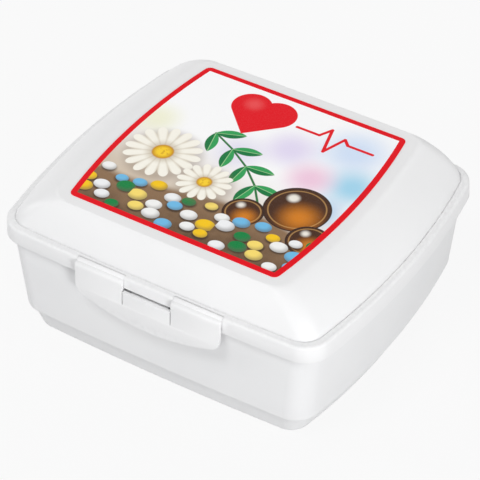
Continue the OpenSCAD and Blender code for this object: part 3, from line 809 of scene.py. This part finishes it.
def hinge_ear(middle):
    root = RIM_D / 2 - wall_y_in(SKIRT_Z) - WALL / 2
    shoulder = SKIRT_Z - 1
    out = HINGE_R * math.sin(math.pi / 4)
    gusset = slab_along_x("ear", [(root, shoulder - GUSSET_H), (HINGE_Y + out, HINGE_Z - out),
                                  (HINGE_Y - out, HINGE_Z + out), (RIM_D / 2 + GUSSET_OUT, shoulder),
                                  (root, shoulder)], EAR_W, middle)
    return with_eye(gusset, EAR_W, middle)


ear_off = (KNUCKLE_W + EAR_W + 2 * EAR_GAP) / 2
fittings = [bevel(fitting, FITTING_EDGE) for fitting in tub_ribs() + [catch_wedge()]]
fittings += [hinge_ear(side * HINGE_X + end * ear_off) for side in (-1, 1) for end in (-1, 1)]
combine(tub, joined(fittings), "UNION")
combine(tub, joined(pin_bores(HINGE_SPAN + 2)), "DIFFERENCE")
clean(tub)
put(tub, "tub_body", "tub_plastic", [TUB_SHADED_WHITE], "tub")

# %% [markdown]
# ## The lid
#
# The lid's loop starts under the flat top, runs down the inside of the dome to the seat, round the
# lower edge of the skirt, over the rounded rim, through the groove at the dome's foot and up the
# shoulder. The shoulder is a curve between two powers: steep at its foot and flat where it meets the
# top, so that the light slides over it without a crease.

# %% Rings of the lid
LABEL = (LABEL_W / 2, LABEL_D / 2, LABEL_BOW, 0.05, LABEL_R)
FLAT_TOP = (LABEL_W / 2 + TOP_MARGIN, LABEL_D / 2 + TOP_MARGIN, LABEL_BOW, END_BOW / 4,
            LABEL_R + TOP_MARGIN)
DOME_STEPS, TOP_POWER, FOOT_POWER = 22, 1.3, 1.45
INNER_IN = GROOVE_IN + 0.6


def rim_ring(d, z):
    return ring(inset(RIM, d, d, d), z)


def skirt_ring(d, z):
    return ring(inset(RIM, d - SKIRT_FLARE * (RIM_Z - z) / SKIRT_H, d, d), z)


def dome_rings(foot, top, low, high):
    """Rings of a dome from its foot to its top, closer together where it is steep."""
    rings = []
    for i in range(DOME_STEPS + 1):
        share = (i / DOME_STEPS) ** FOOT_POWER
        height = (1 - (1 - share) ** TOP_POWER) ** (1 / FOOT_POWER)
        shape = [a + (b - a) * share for a, b in zip(foot, top)]
        rings.append(ring(shape, low + (high - low) * height))
    return rings


inner_foot = inset(RIM, INNER_IN, INNER_IN, INNER_IN)
inner_top = inset(FLAT_TOP, WALL * 0.8, WALL * 0.8, WALL * 0.5)
lid_inside = [ring(inset(inner_top, 1, 1, 1), LID_Z - WALL)]
lid_inside += reversed(dome_rings(inner_foot, inner_top, SEAT_Z + 0.8, LID_Z - WALL))
lid_inside += [ring(inner_foot, SEAT_Z + 0.2), ring(inset(inner_foot, -0.2, -0.2, -0.2), SEAT_Z)]
lid_inside += [rim_ring(SKIRT_T, SEAT_Z)]

lid_outside = [skirt_ring(d, SKIRT_Z + up) for d, up in reversed(soft_edge(SKIRT_T))]
lid_outside += [skirt_ring(RIM_EDGE_R * (1 - c), RIM_Z - RIM_EDGE_R * (1 - s)) for s, c in turns()]
groove = ((1.9, 0), (2.5, 0.2), (2.8, 0.24), (3.0, 0.14),
          (3.15, -0.08), (3.3, -0.22), (3.42, -0.1), (3.52, 0.15))
lid_outside += [rim_ring(d, RIM_Z + z) for d, z in groove]
dome_foot = inset(RIM, GROOVE_IN, GROOVE_IN, GROOVE_IN)
lid_outside += dome_rings(dome_foot, FLAT_TOP, RIM_Z + GROOVE_DEEP, LID_Z)
lid_outside += [ring(inset(FLAT_TOP, 1, 1, 1), LID_Z)]

lid = loft("lid_shell", lid_inside + lid_outside)
print("lid rings:", len(lid_inside + lid_outside))

# %% [markdown]
# ## Knuckles, pockets and notch of the lid
#
# Two knuckles stand out behind the skirt and turn on the hinge pins. At the front, each arm of the
# latch has a pocket in the rim, a wire runs through the rim behind both, and a notch in the skirt
# lets the tongue's hook reach the catch.

# %% Build the lid's fittings
LATCH_W, LATCH_H, LATCH_T, LATCH_GAP, LATCH_FLARE = 70.2, 21.2, 1.6, 0.3, 1.2
LATCH_ARC_R, LATCH_CORNER_R, NECK_H = 104, 5, 3.2
LATCH_R, WIRE_R, WIRE_GRIP, WIRE_END_PLAY, POCKET_GAP = 1.1, 0.4, 2.5, 0.4, 0.13
LATCH_Y, LATCH_Z = -RIM_D / 2 + 1.25, RIM_Z - LATCH_R
LATCH_BACK = -RIM_D / 2 - LATCH_GAP
LATCH_FACE = LATCH_BACK - LATCH_T
NECK_Z = RIM_Z - NECK_H - LATCH_R
ARM_W, ARM_X = (LATCH_W - WINDOW_W) / 2, (LATCH_W + WINDOW_W) / 4


def lid_knuckle(middle):
    neck = block("knuckle", (middle - KNUCKLE_W / 2, RIM_D / 2 - SKIRT_T, SKIRT_Z),
                 (middle + KNUCKLE_W / 2, HINGE_Y, HINGE_Z + HINGE_R))
    return with_eye(neck, KNUCKLE_W, middle)


def wire_bore(length):
    return rod("wire_bore", WIRE_R + PIN_PLAY, length, (0, LATCH_Y, LATCH_Z))


def latch_pocket(middle):
    width = ARM_W + 2 * POCKET_GAP
    out, low, high = LATCH_BACK - 1, NECK_Z - LATCH_GAP, RIM_Z + 1
    slope = slab_along_x("pocket", [(LATCH_Y, high), (out, high), (out, low), (-RIM_D / 2 - 0.01, low),
                                    (LATCH_Y, LATCH_Z - LATCH_R)], width, middle)
    hollow = rod("hollow", LATCH_R + POCKET_GAP, width, (middle, LATCH_Y, LATCH_Z))
    return combine(slope, hollow, "UNION")


combine(lid, joined([lid_knuckle(side * HINGE_X) for side in (-1, 1)]), "UNION")
cuts = pin_bores(HINGE_SPAN) + [latch_pocket(side * ARM_X) for side in (-1, 1)]
cuts += [block("notch", (-WINDOW_W / 2 - SLIT_W, -RIM_D / 2 - 1, SKIRT_Z - 1),
               (WINDOW_W / 2 + SLIT_W, -RIM_D / 2 + SKIRT_T + 0.3, RIM_Z - WINDOW_H))]
combine(lid, joined(cuts), "DIFFERENCE")
combine(lid, wire_bore(LATCH_W + 2 * WIRE_GRIP), "DIFFERENCE")
clean(lid)
put(lid, "lid_body", "lid_plastic", [LID_WHITE], "lid")

# %% [markdown]
# ## The film on the lid
#
# The film is a thin slab with the outline of the flat top, a few millimetres smaller. Its upper face
# is inset by the border's width, so the border is a ring of faces of its own and its edge stays sharp
# however close the camera comes.

# %% Build the film
BORDER_W, FILM_EDGE = 2.6, 0.05
film = loft("lid_film", [ring(LABEL, LID_Z), ring(LABEL, LID_Z + LABEL_T - FILM_EDGE),
                         ring(inset(LABEL, FILM_EDGE, FILM_EDGE, FILM_EDGE), LID_Z + LABEL_T)])
select_only(film)
mode("EDIT")
bpy.ops.mesh.select_all(action="DESELECT")
cage = bmesh.from_edit_mesh(film.data)
for face in cage.faces:
    face.select = face.normal.z > 0.9 and face.calc_center_median().z > (LID_Z + LABEL_T * 0.9) * MM
bmesh.update_edit_mesh(film.data)
bpy.ops.mesh.inset(thickness=BORDER_W * MM, depth=0)
cage = bmesh.from_edit_mesh(film.data)
for face in cage.faces:
    face.material_index = 1 if face.select else 0
bmesh.update_edit_mesh(film.data)
mode("OBJECT")
put(film, "lid_body", "label_film", [BORDER, PRINT], "lid_label")

# %% [markdown]
# ## The latch
#
# The latch is a flap on two arms, with a window between them and a springy tongue below the window.
# Its side view is one outline: the round knuckle, a rounded brow, and a face that flares out towards
# the fingers. Its front view is another, with the curved lower edge, the window and the slits. Each is
# given a thickness, and where the two slabs overlap is the latch.

# %% Side and front outlines of the latch
FLAP_LOW = RIM_Z - LATCH_H
BROW_H, BROW_IN, BROW_ROUND, BROW_STEPS = 1.6, 1.3, 0.15, 8
FACE_STEPS, KNUCKLE_STEPS, LATCH_CORNER_STEPS, LATCH_ARC_STEPS = 12, 24, 10, 16
KNUCKLE_START, KNUCKLE_STOP = 165, -115
LATCH_EDGE, FRONT_DEEP = 0.18, 16


def flare(z):
    return LATCH_FLARE * max(0, (NECK_Z - z) / (NECK_Z - FLAP_LOW)) ** 2


def curve(a, b, c, steps):
    """Points on a soft corner from a to c that leans towards b, without a itself."""
    shares = [i / steps for i in range(1, steps + 1)]
    return [tuple((1 - t) ** 2 * p + 2 * t * (1 - t) * q + t * t * r for p, q, r in zip(a, b, c))
            for t in shares]


def latch_side():
    brow_z = LATCH_Z - BROW_H
    levels = [FLAP_LOW - 1 + (brow_z - FLAP_LOW + 1) * i / FACE_STEPS for i in range(FACE_STEPS + 1)]
    front = [(LATCH_FACE - flare(z), z) for z in levels]
    brow = curve(front[-1], (LATCH_FACE + BROW_ROUND, LATCH_Z - BROW_ROUND),
                 (LATCH_Y - BROW_IN, LATCH_Z), BROW_STEPS)
    knuckle = arc((LATCH_Y, LATCH_Z), LATCH_R, KNUCKLE_START, KNUCKLE_STOP, KNUCKLE_STEPS)
    behind = [NECK_Z] + [z for z in reversed(levels) if z < NECK_Z - 0.5]
    back = [(LATCH_BACK - flare(z), z) for z in behind]
    return front + brow + knuckle + back


def latch_front():
    centre_z = FLAP_LOW + LATCH_ARC_R
    corner_x = LATCH_W / 2 - LATCH_CORNER_R
    corner_z = centre_z - math.sqrt((LATCH_ARC_R - LATCH_CORNER_R) ** 2 - corner_x ** 2)
    turn = math.degrees(math.atan2(corner_z - centre_z, corner_x))
    top, half, slit = RIM_Z + 1, WINDOW_W / 2, TONGUE_Z - TONGUE_L
    right = [(half - SLIT_W, TONGUE_Z), (half - SLIT_W, slit), (half, slit), (half, top),
             (LATCH_W / 2, top)]
    right += arc((corner_x, corner_z), LATCH_CORNER_R, 0, turn, LATCH_CORNER_STEPS)
    right += arc((0, centre_z), LATCH_ARC_R, turn, -90, LATCH_ARC_STEPS)[1:]
    return right + [(-x, z) for x, z in right[-2::-1]]


print("latch side points:", len(latch_side()), "front points:", len(latch_front()))

# %% [markdown]
# ## Joining the latch
#
# The hook stands behind the tongue, and a bore for the wire runs through both knuckles. The edges are
# softened last, because a moulded edge is never sharp and its thin highlight shows the flap's shape.

# %% Build the latch
latch = slab_along_x("latch_flap", latch_side(), LATCH_W)
front_slab = slab_along_y("front", latch_front(), FRONT_DEEP, LATCH_FACE + 1)
combine(latch, front_slab, "INTERSECT")
hook_z = CATCH_Z - CATCH_GAP - CATCH_H
tip = -RIM_D / 2 + wall_y_in(CATCH_Z) - CATCH_OUT + HOOK_BITE
root = LATCH_BACK - LATCH_T / 2
hook_top, hook_low = hook_z + CATCH_H, hook_z - CATCH_H / 2
hook = slab_along_x("hook", [(root, hook_top), (tip, hook_top), (tip, hook_z + CATCH_H / 2),
                             (LATCH_BACK, hook_low), (root, hook_low)], CATCH_W)
combine(latch, hook, "UNION")
combine(latch, wire_bore(LATCH_W + 2), "DIFFERENCE")
clean(latch)
bevel(latch, LATCH_EDGE, 45)
put(latch, "latch_body", "latch_plastic", [LATCH_WHITE], "front_latch", angle=35)

# %% [markdown]
# ## Pins and wire
#
# Each pin is a cylinder whose end edges are bevelled, so that it can be pushed into its bore.

# %% Build the pins
def pin(name, radius, length, middle, node, body):
    piece = rod(name, radius, length, middle, sides=40)
    bevel(piece, radius * 0.3, 60, 3)
    put(piece, body, "pin_steel", [STEEL], node)


for name, x in (("left", -HINGE_X), ("right", HINGE_X)):
    pin(f"pin_{name}", PIN_R, HINGE_SPAN, (x, HINGE_Y, HINGE_Z), f"hinge_pin_{name}", "tub_body")
wire_l = LATCH_W + 2 * WIRE_GRIP - WIRE_END_PLAY
pin("latch_wire", WIRE_R, wire_l, (0, LATCH_Y, LATCH_Z), "latch_pin", "lid_body")

# %% [markdown]
# ## The tray
#
# The tray is a shallow moulding that rests on the tub's ribs. It is lofted like the tub, then gets
# the ribs of its six divider ends, and two round notches in its edge for the fingertips.

# %% Build the tray
NOTCH_R, NOTCH_DEEP, CROSS_X, TRAY_RIB_REACH, DIVIDER_BELOW = 10, 7, 25, 2.2, 1
THIN_EDGE = 0.2
TRAY_TOP = TRAY_Z + TRAY_H
END_R = ((RIM_W / 2) ** 2 + END_BOW ** 2) / (2 * END_BOW)
CROSS_DIP = END_R - math.sqrt(END_R ** 2 - CROSS_X ** 2)


def tray_x_in(z):
    return wall_x_in(z) + WALL + TRAY_GAP


def tray_y_in(z):
    return wall_y_in(z) + WALL + TRAY_GAP


def tray_ring(at, d, z):
    turn = wall_turn(at) + WALL + TRAY_GAP + d
    return ring(inset(RIM, tray_x_in(at) + d, tray_y_in(at) + d, turn), z)


def tray_rib(half, low_in, high_in, sign):
    low, high = TRAY_Z + TRAY_T / 2, TRAY_TOP - DIVIDER_BELOW
    points = [(half - low_in - TRAY_T - TRAY_RIB_REACH, low), (half - low_in - TRAY_R, low),
              (half - low_in - TRAY_T / 2, low + TRAY_R), (half - high_in - TRAY_T / 2, high),
              (half - high_in - TRAY_T - TRAY_RIB_REACH, high)]
    return [(sign * u, z) for u, z in points]


floor_top = TRAY_Z + TRAY_T
tray_rings = [tray_ring(TRAY_Z, TRAY_R + 1, TRAY_Z)]
tray_rings += [tray_ring(TRAY_Z, TRAY_R * (1 - s), TRAY_Z + TRAY_R * (1 - c)) for s, c in turns()]
tray_rings += [tray_ring(TRAY_TOP, d, TRAY_TOP - drop) for d, drop in soft_edge(TRAY_T)]
tray_rings += [tray_ring(TRAY_Z, TRAY_T + TRAY_R * (1 - c), floor_top + TRAY_R * (1 - s))
               for s, c in turns()]
tray_rings += [tray_ring(TRAY_Z, TRAY_T + TRAY_R + 1, floor_top)]
tray = loft("tray_shell", tray_rings)

tray_ribs = []
for sign in (-1, 1):
    for side in (-RIB_OFF, RIB_OFF):
        ends = tray_rib(RIM_W / 2, tray_x_in(TRAY_Z), tray_x_in(TRAY_TOP), sign)
        tray_ribs.append(slab_along_y("rib", ends, RIB_T, side))
        for x in (-CROSS_X, CROSS_X):
            ends = tray_rib(RIM_D / 2 - CROSS_DIP, tray_y_in(TRAY_Z), tray_y_in(TRAY_TOP), sign)
            tray_ribs.append(slab_along_x("rib", ends, RIB_T, x + side))
for rib in tray_ribs:
    bevel(rib, THIN_EDGE)
combine(tray, joined(tray_ribs), "UNION")
finger = rod("finger", NOTCH_R, RIM_D, (0, 0, TRAY_TOP + NOTCH_R - NOTCH_DEEP), 96, "Y")
combine(tray, finger, "DIFFERENCE")
clean(tray)
put(tray, "tray_body", "tray_plastic", [TRAY_WHITE], "tray")

# %% [markdown]
# ## The dividers
#
# Each divider is a flat plate with lap slots, open upwards in one plate and downwards in the plate
# that crosses it. The outline is drawn with its slots, given its thickness and softened.

# %% Build the dividers
def slotted(half_low, half_high, low, high, chamfer, slots, slot_end, from_top):
    """Outline of a plate in its own plane, with one lap slot at each place in slots."""
    corner = [(half_low - chamfer, low), (half_low, low + chamfer)] if chamfer else [(half_low, low)]
    bottom = [(-x, z) for x, z in reversed(corner)]
    top = [(half_high, high)]
    side = DIVIDER_T / 2 + SLOT_PLAY
    if from_top:
        side, edge, mouth = -side, top, high
    else:
        edge, mouth = bottom, low
    for x in reversed(slots) if from_top else slots:
        edge += [(x - side, mouth), (x - side, slot_end), (x + side, slot_end), (x + side, mouth)]
    return bottom + corner + top + [(-half_high, high)]


def divider(name, points, along_y, middle, node, body):
    slab = slab_along_y if along_y else slab_along_x
    piece = slab(name, points, DIVIDER_T, middle)
    bevel(piece, THIN_EDGE)
    put(piece, body, "divider_plastic", [DIVIDER_BLUE], node)


base_lap = (FLOOR_Z + RIBS_Z) / 2
half_x = RIM_W / 2 - foot_x_in(FLOOR_Z) - WALL - FLOOR_R
half_y = RIM_D / 2 - foot_y_in(FLOOR_Z) - WALL - FLOOR_R
for name, half, play, is_long in (("long", half_x, -SLOT_PLAY, True),
                                  ("cross", half_y, SLOT_PLAY, False)):
    points = slotted(half, half, FLOOR_Z, RIBS_Z, 0, [0], base_lap + play, is_long)
    divider(f"lower_divider_{name}", points, is_long, 0, f"base_divider_{name}", "tub_body")

tray_low, tray_high = TRAY_Z + TRAY_T, TRAY_TOP - DIVIDER_BELOW
tray_lap = (tray_low + tray_high) / 2
low_x, high_x = (RIM_W / 2 - tray_x_in(z) - TRAY_T - END_PLAY for z in (TRAY_Z, TRAY_TOP))
low_y, high_y = (RIM_D / 2 - CROSS_DIP - tray_y_in(z) - TRAY_T - END_PLAY
                 for z in (TRAY_Z, TRAY_TOP))
points = slotted(low_x, high_x, tray_low, tray_high, TRAY_R, [-CROSS_X, CROSS_X],
                 tray_lap - SLOT_PLAY, True)
divider("tray_divider_long_plate", points, True, 0, "tray_divider_long", "tray_body")
points = slotted(low_y, high_y, tray_low, tray_high, TRAY_R, [0], tray_lap + SLOT_PLAY, False)
for name, x in (("left", -CROSS_X), ("right", CROSS_X)):
    divider(f"tray_divider_{name}_plate", points, False, x, f"tray_divider_{name}", "tray_body")

# %% [markdown]
# ## Floor and studio light
#
# The box stands on a plain pale floor. Seen directly, the floor is nearly all white light, with a
# little of its own shading left in, so the box keeps a faint shadow. Seven soft lamps stand about the
# box. The strongest is low on the right, so the right wall is bright near the corner and falls off
# to the back. A steep one in front puts a thin shadow under the skirt, and the others fill in.

# %% Floor
def white_for_camera(owner, shader, settings, share, output):
    """Set a shader, and mix white light over it for rays that show it directly or in a reflection."""
    nodes = Nodes(owner)
    plain = nodes.tree.nodes[shader]
    for key, value in settings.items():
        plain.inputs[key].default_value = value
    path = nodes.node("ShaderNodeLightPath")
    seen, mirrored, through = (Field(nodes, path.outputs[f"Is {ray} Ray"])
                               for ray in ("Camera", "Glossy", "Transmission"))
    glow = nodes.node("ShaderNodeEmission").outputs[0]
    blend = nodes.node("ShaderNodeMixShader", None,
                       {0: seen.high(mirrored).high(through) * share, 1: plain.outputs[0], 2: glow})
    nodes.feed(nodes.tree.nodes[output].inputs[0], blend.outputs[0])


FLOOR_SIZE, FLOOR_WHITE = 6, 0.9

deselect()
bpy.ops.mesh.primitive_plane_add(size=FLOOR_SIZE)
ground = bpy.context.object
ground.name = "studio_floor"
floor_paint = bpy.data.materials.new("floor_white")
white_for_camera(floor_paint, "Principled BSDF",
                 {"Base Color": rgb(0.5, 0.5, 0.505), "Roughness": 0.9}, FLOOR_WHITE, "Material Output")
ground.data.materials.append(floor_paint)

# %% World and lamps
AMBIENT = 0.34
LAMPS = (("low_right", 56, 12, 8.8), ("high_right", 85, 32, 1.7), ("steep_front", -10, 60, 4.5),
         ("low_front", 0, 15, 1.9), ("low_left", -75, 15, 4.7), ("back_left", -120, 40, 1.6),
         ("behind", 180, 40, 2.9))
LAMP_SIZE, LAMP_FAR, LIT_SHARE = 0.4, 1.3, 0.6

world = bpy.data.worlds.new("studio")
bpy.context.scene.world = world
white_for_camera(world, "Background", {"Color": rgb(1, 1, 1), "Strength": AMBIENT}, 1.0, "World Output")


def direction(azimuth, elevation):
    a, e = math.radians(azimuth), math.radians(elevation)
    return Vector((math.sin(a) * math.cos(e), -math.cos(a) * math.cos(e), math.sin(e)))


def placed(name, data, place, target):
    item = bpy.data.objects.new(name, data)
    bpy.context.scene.collection.objects.link(item)
    item.location = place
    item.rotation_euler = (target - place).to_track_quat("-Z", "Y").to_euler()
    return item


middle = Vector((0, 0, RIM_Z * MM * LIT_SHARE))
for name, azimuth, elevation, watts in LAMPS:
    data = bpy.data.lights.new(name, "AREA")
    data.shape, data.size, data.energy = "DISK", LAMP_SIZE, watts
    placed(name, data, middle + direction(azimuth, elevation) * LAMP_FAR, middle)
print("lamps:", len(LAMPS))

# %% [markdown]
# ## Camera
#
# The camera stands to the right of the front, and looks down at about 40 degrees from nearly a metre
# away through a long lens, which is how the box was photographed.

# %% Camera
LENS, SENSOR_W, CAMERA_FAR = 168.5, 36, 0.96312
CAMERA_AZIMUTH, CAMERA_ELEVATION = 32.27, 39.88

camera_data = bpy.data.cameras.new("camera")
camera_data.lens, camera_data.sensor_width = LENS, SENSOR_W
target = Vector((0.89, -3.445, 33.60)) * MM
place = target + direction(CAMERA_AZIMUTH, CAMERA_ELEVATION) * CAMERA_FAR
bpy.context.scene.camera = placed("camera", camera_data, place, target)
bpy.context.scene.view_settings.view_transform = "Standard"
